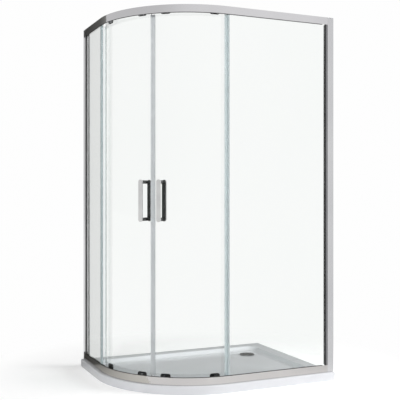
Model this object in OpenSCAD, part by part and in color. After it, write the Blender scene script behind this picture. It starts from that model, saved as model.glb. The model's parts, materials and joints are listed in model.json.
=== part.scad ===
// Corner shower enclosure with a round front corner: a low tray, two straight fixed panes
// and two curved doors that slide apart from the middle of the curve.
// The front corner's arc runs from the left run to the front run, and both doors are mirror images
// about the line at 45 degrees through the arc's centre.
// A place in a run's section is given by its depth, measured inwards from the outer face of the rails.

/* [Tray] */
// Length of the tray along the longer wall
tray_l = 1200; // [1100:10:1400]
// Depth of the tray along the shorter wall
tray_d = 900; // [880:10:1100]
// Radius of the round front corner of the tray
corner_r = 550; // [480:10:560]
// Height of the tray above the floor
tray_h = 45; // [42:1:80]
// Width of the flat rim around the basin
rim_w = 72; // [64:1:100]
// Depth of the basin below the rim
basin_depth = 22; // [12:1:24]
// Width of the sloping side of the basin, seen from above
basin_slope = 26; // [10:1:60]
// Radius of the basin's tighter corners
basin_corner_r = 70; // [40:5:120]
// Distance from the tray's edge to the outer face of the rails
setback = 15; // [5:1:18]

/* [Enclosure] */
// Height of the enclosure above the rim of the tray
enclosure_h = 1970; // [1700:10:2100]
// Thickness of the glass
glass_t = 6; // [5:1:8]
// Depth from the outer face of the rails to the fixed panes
fixed_set = 5; // [4:0.5:7]

/* [Rails] */
// Height of the top and bottom rails
rail_h = 40; // [38:1:60]
// Wall thickness of the rails
rail_t = 2; // [1.6:0.2:2.4]
// Thickness of the rib behind the fixed panes
rib_t = 1.5; // [1:0.5:2]
// Free play on each side of whatever rides in the rails
side_play = 10.4; // [9.6:0.2:11]
// Height of the running ledge above the lower edge of the top rail
ledge_z = 14.5; // [13:0.5:16]
// Thickness of the running ledge
ledge_t = 2; // [1.5:0.5:2.5]
// Height of the short lip along the inner edge of the top rail
lip_h = 6; // [4:1:7]
// Height of the low inner wall of the bottom rail
sill_lip_h = 14; // [10:1:18]

/* [Wall profiles] */
// Length of a wall profile away from the wall
profile_w = 38; // [32:1:50]
// Depth of a wall profile from its outer to its inner face
profile_d = 32; // [28:1:40]
// Wall thickness of the wall profiles
profile_t = 1.8; // [1.4:0.2:2.4]
// Height of the cap on top of a wall profile
cap_h = 3; // [2:0.5:5]
// Part of the jamb that shows beyond the wall profile
jamb_reveal = 9; // [6:1:20]
// Wall thickness of the jambs
jamb_t = 1.6; // [1.2:0.2:2]
// Radius of the wall fixing holes
fixing_hole_r = 3; // [2:0.5:4]
// Height of the lowest wall fixing above the rim of the tray
fixing_first_z = 185; // [100:5:300]
// Number of fixings in each wall profile
fixing_count = 3; // [2:1:5]

/* [Doors] */
// Overlap of each door behind its fixed pane
door_overlap = 8; // [6:1:40]
// Width of a closing seal along the curve
closing_seal_w = 12; // [9:1:18]
// Distance from the ends of a door to the middle of its rollers and guides
roller_inset = 68; // [45:1:80]
// Radius of a roller wheel
wheel_r = 10; // [8:0.5:11]
// Width of a roller wheel
wheel_w = 6; // [5:0.5:8]
// Radius of an axle pin
pin_r = 2.5; // [2:0.25:3]
// Length of a roller carrier along the curve
carrier_w = 48; // [40:1:56]
// Thickness of a roller carrier or bottom guide
carrier_t = 7; // [6:0.5:8]
// Height of a roller carrier's lower edge above the lower edge of the top rail
carrier_lift = 2; // [0:0.5:4]

/* [Bottom guides] */
// Length of a bottom guide along the curve
guide_w = 54; // [40:1:64]
// Height of a bottom guide's body
guide_h = 27; // [24:1:40]
// Height of a bottom guide's body above the bottom rail's outer wall
guide_rise = 10; // [8:1:24]
// Width of a release button
button_w = 16; // [10:1:24]
// Height of a release button
button_h = 12; // [8:1:16]
// Travel of a release button
button_travel = 2.2; // [1:0.1:2.4]

/* [Handles] */
// Length of a handle bar
bar_l = 221; // [160:1:400]
// Width of a handle bar
bar_w = 24; // [18:1:32]
// Thickness of a handle bar
bar_t = 8; // [5:0.5:12]
// Distance between the posts of a handle
post_pitch = 196; // [120:2:340]
// Radius of a handle post
post_r = 9; // [6:0.5:11]
// Length of a handle post from the glass to its bar
post_l = 40; // [28:1:55]
// Height of the middle of the handles above the floor
handle_z = 1000; // [850:5:1200]
// Distance from the closing line to the middle of a handle, along the curve
handle_inset = 47; // [40:1:60]

/* [Waste] */
// Distance from the middle of the waste to the shorter wall
waste_x = 190; // [170:5:400]
// Distance from the middle of the waste to the longer wall
waste_y = 210; // [170:5:400]
// Radius of the waste cover
cover_r = 45; // [40:1:50]
// Radius of the waste outlet's neck
neck_r = 30; // [26:1:32]

/* [Hidden] */
$fn = 180;

cut = 1;                 // overrun of every cut past the face it opens
seat = 0.3;              // gap where a moving or loose piece rests on another
fit = 0.05;              // radial gap between a pin and its bore
SMALL = 48;              // facets of small round pieces

// Plan of the enclosure
arc_x = -tray_l / 2 + corner_r;
arc_y = -tray_d / 2 + corner_r;
rail_r = corner_r - setback;
left_run = tray_d / 2 - arc_y;
front_run = tray_l / 2 - arc_x;
top_z = tray_h + enclosure_h;
top_rail_z = top_z - rail_h;

// Depths of what lies behind the outer face of the rails
glazing_gap = 1;
rib_in = fixed_set + glass_t + glazing_gap;
rib_out = rib_in + rib_t;
wheel_set = rib_out + side_play;
ledge_end = wheel_set + wheel_w - glazing_gap / 2;
carrier_set = ledge_end + side_play;
pad = 0.2;
door_in = carrier_set - pad;
door_set = door_in - glass_t;
rail_d = carrier_set + carrier_t + rail_t;
door_r = rail_r - door_set - glass_t / 2;

// Heights of the glass
glass_engage = 4;
fixed_glass_z = tray_h + rail_t + glass_engage;
fixed_glass_top = top_z - rail_t - glass_engage;
door_glass_z = tray_h + rail_h / 2;
door_glass_top = top_rail_z + ledge_z - glazing_gap;

// Door, measured along the curve from the closing line
half_arc = door_r * PI / 4;
seal_gap = 0.3;
seal_grip = 4;
door_lead = closing_seal_w - seal_grip;
door_trail = half_arc + door_overlap;
lead_at = roller_inset;
trail_at = door_trail - roller_inset;

// Rollers
wheel_z = top_rail_z + ledge_z + ledge_t + seat + wheel_r;
pin_head_r = 4.5;
pin_head_t = 2;
carrier_low = top_rail_z + carrier_lift;
carrier_rise = 2 * pin_r;
clamp_screw_r = 2.5;
clamp_head_r = 4.5;
clamp_head_t = 2.5;
clamp_pitch = 28;
clamp_z = (carrier_low + door_glass_top) / 2;

// Guides
guide_z = tray_h + rail_h + guide_rise - guide_h;
foot_w = 30;
foot_t = 7;
foot_gap = 3;
foot_out = 7;
foot_set = door_set - foot_out;
foot_low = tray_h + rail_t + foot_gap;
foot_top = door_glass_z - seat;
bridge_low = foot_top - foot_gap;
bridge_in = carrier_set + foot_gap;
button_proud = 3;
button_play = 0.25;
button_z = guide_z + guide_h / 2;
button_t = button_proud + carrier_t / 2;

// Waste, from the underside of the tray upwards
waste_ax = tray_l / 2 - waste_x;
waste_ay = tray_d / 2 - waste_y;
basin_z = tray_h - basin_depth;
waste_recess = 4;
waste_seat_z = basin_z - waste_recess;
waste_land = 5;
nut_t = 7;
nut_r = neck_r + 9;
neck_t = 3;
neck_drop = 14;
gasket_t = 1;
flange_t = 2;
flange_r = cover_r - 2;
strainer_t = 1.5;
strainer_drop = 9;
boss_r = 7;
cover_t = 3;
cover_lift = 3;
flange_top = waste_seat_z + gasket_t + flange_t;

// Small pieces
screw_r = 2;
screw_head_r = 4;
screw_head_t = 2;
bracket_l = 26;
bracket_t = 10;
stop_l = 12;
stop_clear = 124;
stop_at = left_run - stop_clear;
gasket_reveal = 7;
gasket_grip = 9;
jamb_play = 0.4;
jamb_reach = 8;
fin_w = 18;
fin_t = 1;
clip_t = 2;
clip_w = 7;
lip_reach = 5;
trailing_w = 10;
trailing_reach = 8;

function arc_deg(length) = length / door_r * 180 / PI;

// Moves what is drawn about the arc's centre into place, mirrored for the front run
module on_side(right) {
    translate([arc_x, arc_y, 0])
        mirror([right ? 1 : 0, right ? -1 : 0, 0])
            children();
}

// Curved bar between two depths, two heights and two distances from the closing line
module curved_bar(depth_a, depth_b, low, high, from, to) {
    rotate([0, 0, 225 - arc_deg(to)])
        rotate_extrude(angle = arc_deg(to - from))
            translate([rail_r - depth_b, low])
                square([depth_b - depth_a, high - low]);
}

// Straight bar behind the left run, between two depths, two heights and two distances past the curve
module straight_bar(depth_a, depth_b, low, high, from, to) {
    translate([depth_a - rail_r, from, low])
        cube([depth_b - depth_a, to - from, high - low]);
}

// Cylinder that points inwards from a depth, at a distance along the curve
module radial_rod(radius, depth_a, depth_b, height, along) {
    rotate([0, 0, 225 - arc_deg(along)])
        translate([rail_r - depth_b, 0, height])
            rotate([0, 90, 0])
                cylinder(r = radius, h = depth_b - depth_a, $fn = SMALL);
}

// Block that points inwards, centred at a distance along the curve
module radial_block(width, depth_a, depth_b, low, high, along) {
    rotate([0, 0, 225 - arc_deg(along)])
        translate([rail_r - depth_b, -width / 2, low])
            cube([depth_b - depth_a, width, high - low]);
}

// Sweeps a section, given as depth and height points, along both runs and the curve between them
module rail_sweep(section, base) {
    outline = [for (p = section) [rail_r - p[0], p[1] + base]];
    translate([arc_x, arc_y, 0]) {
        rotate_extrude(angle = 90, start = 180)
            polygon(outline);
        rotate([90, 0, 180])
            linear_extrude(left_run - profile_w)
                polygon(outline);
        translate([front_run - profile_w, 0, 0])
            rotate([90, 0, -90])
                linear_extrude(front_run - profile_w)
                    polygon(outline);
    }
}

// Outline of the tray, drawn in from its edge
module tray_outline(inset, other_r) {
    far_x = tray_l / 2 - inset;
    far_y = tray_d / 2 - inset;
    hull() {
        translate([arc_x, arc_y])
            intersection() {
                circle(r = corner_r - inset);
                translate([-corner_r, -corner_r])
                    square(corner_r);
            }
        for (p = [[-1, 1], [1, 1], [1, -1]])
            translate([p[0] * (far_x - other_r), p[1] * (far_y - other_r)])
                circle(r = other_r, $fn = SMALL);
    }
}

module tray() {
    floor_inset = rim_w + basin_slope;
    hole_r = neck_r + seat;
    color("white")
        difference() {
            union() {
                translate([arc_x, -tray_d / 2, 0])
                    cube([tray_l / 2 - arc_x, tray_d, tray_h]);
                translate([-tray_l / 2, arc_y, 0])
                    cube([arc_x + tray_l / 2, tray_d / 2 - arc_y, tray_h]);
                translate([arc_x, arc_y, 0])
                    rotate_extrude(angle = 90, start = 180)
                        square([corner_r, tray_h]);
            }
            hull() {
                translate([0, 0, basin_z])
                    linear_extrude(seat)
                        tray_outline(floor_inset, basin_corner_r);
                translate([0, 0, tray_h])
                    linear_extrude(cut)
                        tray_outline(rim_w, basin_corner_r);
            }
            translate([waste_ax, waste_ay, waste_seat_z])
                cylinder(r = cover_r + seat + cover_lift, h = waste_recess + cut, $fn = SMALL);
            translate([waste_ax, waste_ay, -cut])
                cylinder(r = hole_r, h = tray_h, $fn = SMALL);
            translate([waste_ax, waste_ay, -cut])
                cylinder(r = nut_r + cover_lift, h = waste_seat_z - waste_land + cut, $fn = SMALL);
        }
}

// Ring standing on a height
module ring(outer, inner, low, high) {
    translate([waste_ax, waste_ay, low])
        difference() {
            cylinder(r = outer, h = high - low, $fn = SMALL);
            translate([0, 0, -cut])
                cylinder(r = inner, h = high - low + 2 * cut, $fn = SMALL);
        }
}

module waste_flange() {
    neck_low = waste_seat_z - neck_drop;
    color("silver") {
        ring(flange_r, neck_r - neck_t, waste_seat_z + gasket_t, flange_top);
        ring(neck_r, neck_r - neck_t, neck_low, waste_seat_z + gasket_t);
    }
}

module waste_gasket() {
    color("dimgray")
        ring(flange_r - 2 * gasket_t, neck_r + seat, waste_seat_z, waste_seat_z + gasket_t);
}

module waste_nut() {
    nut_top = waste_seat_z - waste_land;
    color("dimgray")
        ring(nut_r, neck_r + fit, nut_top - nut_t, nut_top);
}

module waste_strainer() {
    inner = neck_r - neck_t - seat;
    base = flange_top - strainer_drop;
    slot_ring = (inner + boss_r) / 2;
    slot_r = (inner - boss_r) / 4;
    color("gray") {
        ring(inner, inner - strainer_t, base, flange_top);
        difference() {
            ring(inner - strainer_t / 2, strainer_t, base, base + strainer_t);
            for (i = [0:7])
                translate([waste_ax, waste_ay, base - cut])
                    rotate([0, 0, i * 45])
                        translate([slot_ring, 0, 0])
                            cylinder(r = slot_r, h = strainer_t + 2 * cut, $fn = SMALL);
        }
        ring(boss_r, strainer_t, base, flange_top);
        ring(flange_r - cover_lift, inner - strainer_t / 2, flange_top, flange_top + gasket_t);
    }
}

module waste_cover() {
    base = flange_top + gasket_t + seat + cover_lift;
    hub_low = flange_top + seat;
    color("silver")
        translate([waste_ax, waste_ay, 0]) {
            translate([0, 0, base])
                cylinder(r = cover_r, h = cover_t, $fn = SMALL);
            translate([0, 0, hub_low])
                cylinder(r = boss_r, h = base - hub_low, $fn = SMALL);
        }
}

// U-shaped channel against the wall at the end of a run
module wall_profile(run) {
    height = enclosure_h - cap_h;
    fixing_pitch = (height - 2 * fixing_first_z) / (fixing_count - 1);
    difference() {
        straight_bar(0, profile_d, tray_h, tray_h + height, run - profile_w, run);
        straight_bar(profile_t, profile_d - profile_t, tray_h - cut, tray_h + height + cut,
                     run - profile_w - cut, run - profile_t);
        for (i = [0:fixing_count - 1])
            translate([profile_d / 2 - rail_r, run - profile_t - cut,
                       tray_h + fixing_first_z + i * fixing_pitch])
                rotate([-90, 0, 0])
                    cylinder(r = fixing_hole_r, h = profile_t + 2 * cut, $fn = SMALL);
        for (i = [0:2])
            profile_screw_rod(run, i, screw_r + fit, profile_d - profile_t - cut, profile_d + cut);
    }
}

// Rod along the depth at one of three heights, where a jamb is fastened to its wall profile
module profile_screw_rod(run, i, radius, depth_a, depth_b) {
    height = tray_h + enclosure_h * (i + 1) / 4;
    translate([depth_a - rail_r, run - profile_w / 2, height])
        rotate([0, 90, 0])
            cylinder(r = radius, h = depth_b - depth_a, $fn = SMALL);
}

module wall_profile_left() {
    color("gainsboro")
        on_side(false) wall_profile(left_run);
}

module wall_profile_right() {
    color("gainsboro")
        on_side(true) wall_profile(front_run);
}

module profile_cap(run) {
    straight_bar(0, profile_d, top_z - cap_h, top_z, run - profile_w, run);
    straight_bar(profile_t + seat, profile_d - profile_t - seat, top_z - 2 * cap_h, top_z - cap_h,
                 run - profile_t - jamb_reach + seat, run - profile_t - seat);
}

module profile_cap_left() {
    color("silver")
        on_side(false) profile_cap(left_run);
}

module profile_cap_right() {
    color("silver")
        on_side(true) profile_cap(front_run);
}

// Box profile that slides in the wall profile and holds the fixed pane, notched around both rails
module jamb(run) {
    deep_a = profile_t + jamb_play;
    deep_b = profile_d - profile_t - jamb_play;
    mouth = run - profile_w - jamb_reveal;
    back = run - profile_t - jamb_reach;
    pocket_a = fixed_set - glazing_gap;
    pocket_b = fixed_set + glass_t + glazing_gap;
    pocket_end = mouth + gasket_grip + glazing_gap;
    difference() {
        straight_bar(deep_a, deep_b, tray_h, top_z - cap_h, mouth, back);
        straight_bar(deep_a + jamb_t, deep_b - jamb_t, tray_h - cut, top_z, pocket_end + jamb_t,
                     back - jamb_t);
        straight_bar(pocket_b + jamb_t, deep_b - jamb_t, tray_h - cut, top_z, mouth + jamb_t,
                     pocket_end + jamb_t + cut);
        straight_bar(pocket_a, pocket_b, tray_h - cut, top_z, mouth - cut, pocket_end);
        straight_bar(-cut, rail_d, tray_h - cut, tray_h + rail_h + seat, mouth - cut, run - profile_w + seat);
        straight_bar(-cut, rail_d, top_rail_z - seat, top_z, mouth - cut, run - profile_w + seat);
        for (i = [0:2])
            profile_screw_rod(run, i, screw_r + fit, deep_b - jamb_t - cut, deep_b + cut);
    }
}

module jamb_left() {
    color("silver")
        on_side(false) jamb(left_run);
}

module jamb_right() {
    color("silver")
        on_side(true) jamb(front_run);
}

// Pan-headed screws that hold the jambs in the wall profiles, on the inner faces
module profile_screws() {
    shank_low = profile_d - 2 * profile_t - 2 * jamb_t;
    color("silver")
        for (right = [false, true])
            on_side(right)
                for (i = [0:2]) {
                    profile_screw_rod(right ? front_run : left_run, i, screw_r, shank_low, profile_d);
                    profile_screw_rod(right ? front_run : left_run, i, screw_head_r, profile_d,
                                      profile_d + screw_head_t);
                }
}

module top_rail() {
    ledge_top = ledge_z + ledge_t;
    section = [
        [0, 0], [0, rail_h], [rail_d, rail_h], [rail_d, rail_h - lip_h],
        [rail_d - rail_t, rail_h - lip_h], [rail_d - rail_t, rail_h - rail_t],
        [rib_out, rail_h - rail_t], [rib_out, ledge_top], [ledge_end, ledge_top],
        [ledge_end, ledge_z], [rib_out, ledge_z], [rib_out, glass_engage],
        [rib_in, glass_engage], [rib_in, rail_h - rail_t], [rail_t, rail_h - rail_t], [rail_t, 0]
    ];
    color("silver")
        difference() {
            rail_sweep(section, top_rail_z);
            rail_screw_pair(screw_r + fit, rail_d - rail_t - cut, rail_d + cut, rail_screw_top_z());
        }
}

module bottom_rail() {
    rib_h = rail_h - 2 * rail_t;
    section = [
        [0, 0], [0, rail_h], [rail_t, rail_h], [rail_t, rail_t], [rib_in, rail_t],
        [rib_in, rib_h], [rib_out, rib_h], [rib_out, rail_t], [rail_d - rail_t, rail_t],
        [rail_d - rail_t, sill_lip_h], [rail_d, sill_lip_h], [rail_d, 0]
    ];
    color("silver")
        difference() {
            rail_sweep(section, tray_h);
            rail_screw_pair(screw_r + fit, rail_d - rail_t - cut, rail_d + cut, rail_screw_low_z());
        }
}

function rail_screw_top_z() = top_z - rail_t - screw_r - glazing_gap;
function rail_screw_low_z() = tray_h + rail_t + bracket_t / 2;

// One rod at the end of each run, along the depth, at a height
module rail_screw_pair(radius, depth_a, depth_b, height) {
    for (right = [false, true])
        on_side(right)
            translate([depth_a - rail_r, (right ? front_run : left_run) - profile_w - bracket_l / 2, height])
                rotate([0, 90, 0])
                    cylinder(r = radius, h = depth_b - depth_a, $fn = SMALL);
}

// Block that ties a rail's end to the jamb
module rail_bracket(run, low, height) {
    difference() {
        straight_bar(rib_out + seat, rail_d - rail_t, low, low + bracket_t,
                     run - profile_w - bracket_l, run - profile_w);
        translate([rib_out - rail_r, run - profile_w - bracket_l / 2, height])
            rotate([0, 90, 0])
                cylinder(r = screw_r + fit, h = rail_d, $fn = SMALL);
    }
}

module rail_bracket_top_left() {
    color("gray")
        on_side(false) rail_bracket(left_run, top_z - rail_t - bracket_t, rail_screw_top_z());
}

module rail_bracket_top_right() {
    color("gray")
        on_side(true) rail_bracket(front_run, top_z - rail_t - bracket_t, rail_screw_top_z());
}

module rail_bracket_bottom_left() {
    color("gray")
        on_side(false) rail_bracket(left_run, tray_h + rail_t, rail_screw_low_z());
}

module rail_bracket_bottom_right() {
    color("gray")
        on_side(true) rail_bracket(front_run, tray_h + rail_t, rail_screw_low_z());
}

module rail_screws() {
    color("silver")
        for (height = [rail_screw_top_z(), rail_screw_low_z()]) {
            rail_screw_pair(screw_r, carrier_set - carrier_t, rail_d, height);
            rail_screw_pair(screw_head_r - glazing_gap, rail_d, rail_d + screw_head_t, height);
        }
}

// Rubber buffers under the web of the top rail, one for each door at the end of its travel
module door_stops() {
    stop_low = wheel_z + glazing_gap;
    color("black")
        for (right = [false, true])
            on_side(right)
                straight_bar(carrier_set, rail_d - rail_t, stop_low, top_z - rail_t, stop_at,
                             stop_at + stop_l);
}

module fixed_glass(run) {
    straight_bar(fixed_set, fixed_set + glass_t, fixed_glass_z, fixed_glass_top, glazing_gap,
                 run - profile_w - jamb_reveal + gasket_grip);
}

module fixed_glass_left() {
    color("lightcyan")
        on_side(false) fixed_glass(left_run);
}

module fixed_glass_right() {
    color("lightcyan")
        on_side(true) fixed_glass(front_run);
}

// Soft channel around the fixed pane's edge in its jamb
module glass_gasket(run) {
    mouth = run - profile_w - jamb_reveal;
    difference() {
        straight_bar(fixed_set - glazing_gap, fixed_set + glass_t + glazing_gap,
                     tray_h + rail_h + seat, top_rail_z - seat, mouth - gasket_reveal, mouth + gasket_grip);
        straight_bar(fixed_set, fixed_set + glass_t, tray_h, top_z, mouth - gasket_reveal - cut,
                     mouth + gasket_grip + cut);
    }
}

module glass_gasket_left() {
    color("black")
        on_side(false) glass_gasket(left_run);
}

module glass_gasket_right() {
    color("black")
        on_side(true) glass_gasket(front_run);
}

// Clear clip on the free edge of a fixed pane, with a fin along the door and a lip towards it
module overlap_seal() {
    low = tray_h + rail_h + seat;
    high = top_rail_z - seat;
    inner = fixed_set + glass_t;
    difference() {
        straight_bar(fixed_set - clip_t, inner + clip_t, low, high, -clip_t, clip_w);
        straight_bar(fixed_set, inner, low - cut, high + cut, glazing_gap, clip_w + cut);
    }
    straight_bar(inner + clip_t, inner + clip_t + lip_reach, low, high, -clip_t, 0);
    curved_bar(inner, inner + fin_t, low, high, half_arc - fin_w, half_arc);
}

module overlap_seal_left() {
    color("lightgray")
        on_side(false) overlap_seal();
}

module overlap_seal_right() {
    color("lightgray")
        on_side(true) overlap_seal();
}

// Curved pane with the holes for its roller screws and its handle posts
module door_glass() {
    difference() {
        curved_bar(door_set, door_in, door_glass_z, door_glass_top, door_lead, door_trail);
        for (along = [lead_at, trail_at])
            for (off = [-clamp_pitch / 2, clamp_pitch / 2])
                radial_rod(clamp_screw_r + seat, door_set - cut, carrier_set + cut, clamp_z, along + off);
        for (side = [-1, 1])
            radial_rod(post_r / 2 + seat, door_set - cut, carrier_set + cut,
                       handle_z + side * post_pitch / 2, handle_inset);
    }
}

module door_glass_left() {
    color("lightcyan")
        on_side(false) door_glass();
}

module door_glass_right() {
    color("lightcyan")
        on_side(true) door_glass();
}

// Magnetic seal along the leading edge of a door
module closing_seal() {
    low = tray_h + rail_h + seat;
    high = top_rail_z - seat;
    difference() {
        curved_bar(door_set - clip_t, door_in + clip_t, low, high, seal_gap, closing_seal_w);
        curved_bar(door_set - pad, door_in + pad, low - cut, high + cut, door_lead - pad,
                   closing_seal_w + cut);
    }
}

module closing_seal_left() {
    color("lightgray")
        on_side(false) closing_seal();
}

module closing_seal_right() {
    color("lightgray")
        on_side(true) closing_seal();
}

// Clear clip along the trailing edge of a door, with a lip towards the fixed pane
module trailing_seal() {
    low = tray_h + rail_h + seat;
    high = top_rail_z - seat;
    difference() {
        curved_bar(door_set - fin_t, door_in + fin_t, low, high, door_trail - trailing_w,
                   door_trail + fin_t);
        curved_bar(door_set - pad, door_in + pad, low - cut, high + cut,
                   door_trail - trailing_w - cut, door_trail + pad);
    }
    curved_bar(door_set - trailing_reach, door_set - fin_t, low, high, door_trail - fin_t,
               door_trail + fin_t);
}

module trailing_seal_left() {
    color("lightgray")
        on_side(false) trailing_seal();
}

module trailing_seal_right() {
    color("lightgray")
        on_side(true) trailing_seal();
}

// Plate on the inner face of a door that carries one wheel above the glass
module carrier(along) {
    boss_set = wheel_set + wheel_w + seat;
    difference() {
        union() {
            curved_bar(carrier_set, carrier_set + carrier_t, carrier_low, wheel_z + carrier_rise,
                       along - carrier_w / 2, along + carrier_w / 2);
            radial_rod(2 * pin_r, boss_set, carrier_set + carrier_t / 2, wheel_z, along);
        }
        radial_rod(pin_r + fit, boss_set - cut, carrier_set + carrier_t + cut, wheel_z, along);
        for (off = [-clamp_pitch / 2, clamp_pitch / 2])
            radial_rod(clamp_screw_r + fit, carrier_set - cut, carrier_set + carrier_t + cut, clamp_z,
                       along + off);
    }
}

module carrier_left_lead() {
    color("black")
        on_side(false) carrier(lead_at);
}

module carrier_left_trail() {
    color("black")
        on_side(false) carrier(trail_at);
}

module carrier_right_lead() {
    color("black")
        on_side(true) carrier(lead_at);
}

module carrier_right_trail() {
    color("black")
        on_side(true) carrier(trail_at);
}

// Wheel with a bore for its axle pin and a recess for the pin's head
module wheel(along) {
    wheel_in = wheel_set + wheel_w;
    difference() {
        radial_rod(wheel_r, wheel_set, wheel_in, wheel_z, along);
        radial_rod(pin_r + fit, wheel_set - cut, wheel_in + cut, wheel_z, along);
        radial_rod(pin_head_r + fit, wheel_set - cut, wheel_set + pin_head_t + fit, wheel_z, along);
    }
}

module wheel_left_lead() {
    color("gainsboro")
        on_side(false) wheel(lead_at);
}

module wheel_left_trail() {
    color("gainsboro")
        on_side(false) wheel(trail_at);
}

module wheel_right_lead() {
    color("gainsboro")
        on_side(true) wheel(lead_at);
}

module wheel_right_trail() {
    color("gainsboro")
        on_side(true) wheel(trail_at);
}

// Headed pins that the wheels of one door turn on
module axle_pins() {
    for (along = [lead_at, trail_at]) {
        radial_rod(pin_r, wheel_set, carrier_set + carrier_t, wheel_z, along);
        radial_rod(pin_head_r, wheel_set, wheel_set + pin_head_t, wheel_z, along);
    }
}

module axle_pins_left() {
    color("silver")
        on_side(false) axle_pins();
}

module axle_pins_right() {
    color("silver")
        on_side(true) axle_pins();
}

// Screws through the glass that clamp the carriers of one door
module clamp_screws() {
    for (along = [lead_at, trail_at])
        for (off = [-clamp_pitch / 2, clamp_pitch / 2]) {
            radial_rod(clamp_screw_r, door_set, carrier_set + carrier_t, clamp_z, along + off);
            radial_rod(clamp_head_r, door_set - clamp_head_t, door_set - seat, clamp_z, along + off);
            radial_rod(clamp_screw_r, door_set - clamp_head_t, door_set + cut, clamp_z, along + off);
        }
}

module clamp_screws_left() {
    color("silver")
        on_side(false) clamp_screws();
}

module clamp_screws_right() {
    color("silver")
        on_side(true) clamp_screws();
}

// Section of a guide's foot: down into the bottom rail, under the glass and up into the body
function foot_section() = [
    [foot_set, foot_low], [foot_set + foot_t, foot_low], [foot_set + foot_t, bridge_low],
    [bridge_in, bridge_low], [bridge_in, guide_z + foot_gap], [carrier_set + seat, guide_z + foot_gap],
    [carrier_set + seat, foot_top], [foot_set, foot_top]
];

// Guide on the inner face of a door's lower edge, with a foot in the bottom rail and a button pocket
module guide(along) {
    difference() {
        union() {
            curved_bar(carrier_set, carrier_set + carrier_t, guide_z, guide_z + guide_h,
                       along - guide_w / 2, along + guide_w / 2);
            rotate([0, 0, 225 - arc_deg(along + foot_w / 2)])
                rotate_extrude(angle = arc_deg(foot_w))
                    polygon([for (p = foot_section()) [rail_r - p[0], p[1]]]);
        }
        radial_block(button_w + 2 * button_play,
                     carrier_set + carrier_t + button_proud - button_t - button_travel - seat,
                     carrier_set + carrier_t + cut + button_proud,
                     button_z - button_h / 2 - button_play, button_z + button_h / 2 + button_play, along);
    }
}

module guide_left_lead() {
    color("black")
        on_side(false) guide(lead_at);
}

module guide_left_trail() {
    color("black")
        on_side(false) guide(trail_at);
}

module guide_right_lead() {
    color("black")
        on_side(true) guide(lead_at);
}

module guide_right_trail() {
    color("black")
        on_side(true) guide(trail_at);
}

// Button that is pressed towards the glass to free the foot of a guide
module release_button(along) {
    face = carrier_set + carrier_t + button_proud;
    radial_block(button_w, face - button_t, face, button_z - button_h / 2, button_z + button_h / 2, along);
}

module release_button_left_lead() {
    color("silver")
        on_side(false) release_button(lead_at);
}

module release_button_left_trail() {
    color("silver")
        on_side(false) release_button(trail_at);
}

module release_button_right_lead() {
    color("silver")
        on_side(true) release_button(lead_at);
}

module release_button_right_trail() {
    color("silver")
        on_side(true) release_button(trail_at);
}

// Flat bar with round ends, its near face at a depth
module handle_bar(depth) {
    rotate([0, 0, 225 - arc_deg(handle_inset)])
        translate([rail_r - depth - bar_t, 0, handle_z])
            rotate([90, 0, 90])
                linear_extrude(bar_t) {
                    square([bar_w, bar_l - bar_w], center = true);
                    for (side = [-1, 1])
                        translate([0, side * (bar_l - bar_w) / 2])
                            circle(r = bar_w / 2, $fn = SMALL);
                }
}

module outer_handle_left() {
    color("silver")
        on_side(false) handle_bar(door_set - post_l - bar_t);
}

module outer_handle_right() {
    color("silver")
        on_side(true) handle_bar(door_set - post_l - bar_t);
}

module inner_handle_left() {
    color("silver")
        on_side(false) handle_bar(carrier_set + post_l);
}

module inner_handle_right() {
    color("silver")
        on_side(true) handle_bar(carrier_set + post_l);
}

// Posts of both handles of one door, joined through the glass
module handle_posts() {
    washer = seat;
    for (side = [-1, 1]) {
        height = handle_z + side * post_pitch / 2;
        radial_rod(post_r, door_set - post_l, door_set - washer, height, handle_inset);
        radial_rod(post_r / 2, door_set - washer - cut, carrier_set + washer + cut, height, handle_inset);
        radial_rod(post_r, carrier_set + washer, carrier_set + post_l, height, handle_inset);
    }
}

module handle_posts_left() {
    color("black")
        on_side(false) handle_posts();
}

module handle_posts_right() {
    color("black")
        on_side(true) handle_posts();
}

tray();
waste_flange();
waste_gasket();
waste_nut();
waste_strainer();
waste_cover();
wall_profile_left();
wall_profile_right();
profile_cap_left();
profile_cap_right();
jamb_left();
jamb_right();
profile_screws();
top_rail();
bottom_rail();
rail_bracket_top_left();
rail_bracket_top_right();
rail_bracket_bottom_left();
rail_bracket_bottom_right();
rail_screws();
door_stops();
fixed_glass_left();
fixed_glass_right();
glass_gasket_left();
glass_gasket_right();
overlap_seal_left();
overlap_seal_right();
door_glass_left();
door_glass_right();
closing_seal_left();
closing_seal_right();
trailing_seal_left();
trailing_seal_right();
carrier_left_lead();
carrier_left_trail();
carrier_right_lead();
carrier_right_trail();
wheel_left_lead();
wheel_left_trail();
wheel_right_lead();
wheel_right_trail();
axle_pins_left();
axle_pins_right();
clamp_screws_left();
clamp_screws_right();
guide_left_lead();
guide_left_trail();
guide_right_lead();
guide_right_trail();
release_button_left_lead();
release_button_left_trail();
release_button_right_lead();
release_button_right_trail();
outer_handle_left();
outer_handle_right();
inner_handle_left();
inner_handle_right();
handle_posts_left();
handle_posts_right();
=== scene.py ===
import json
import math

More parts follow.
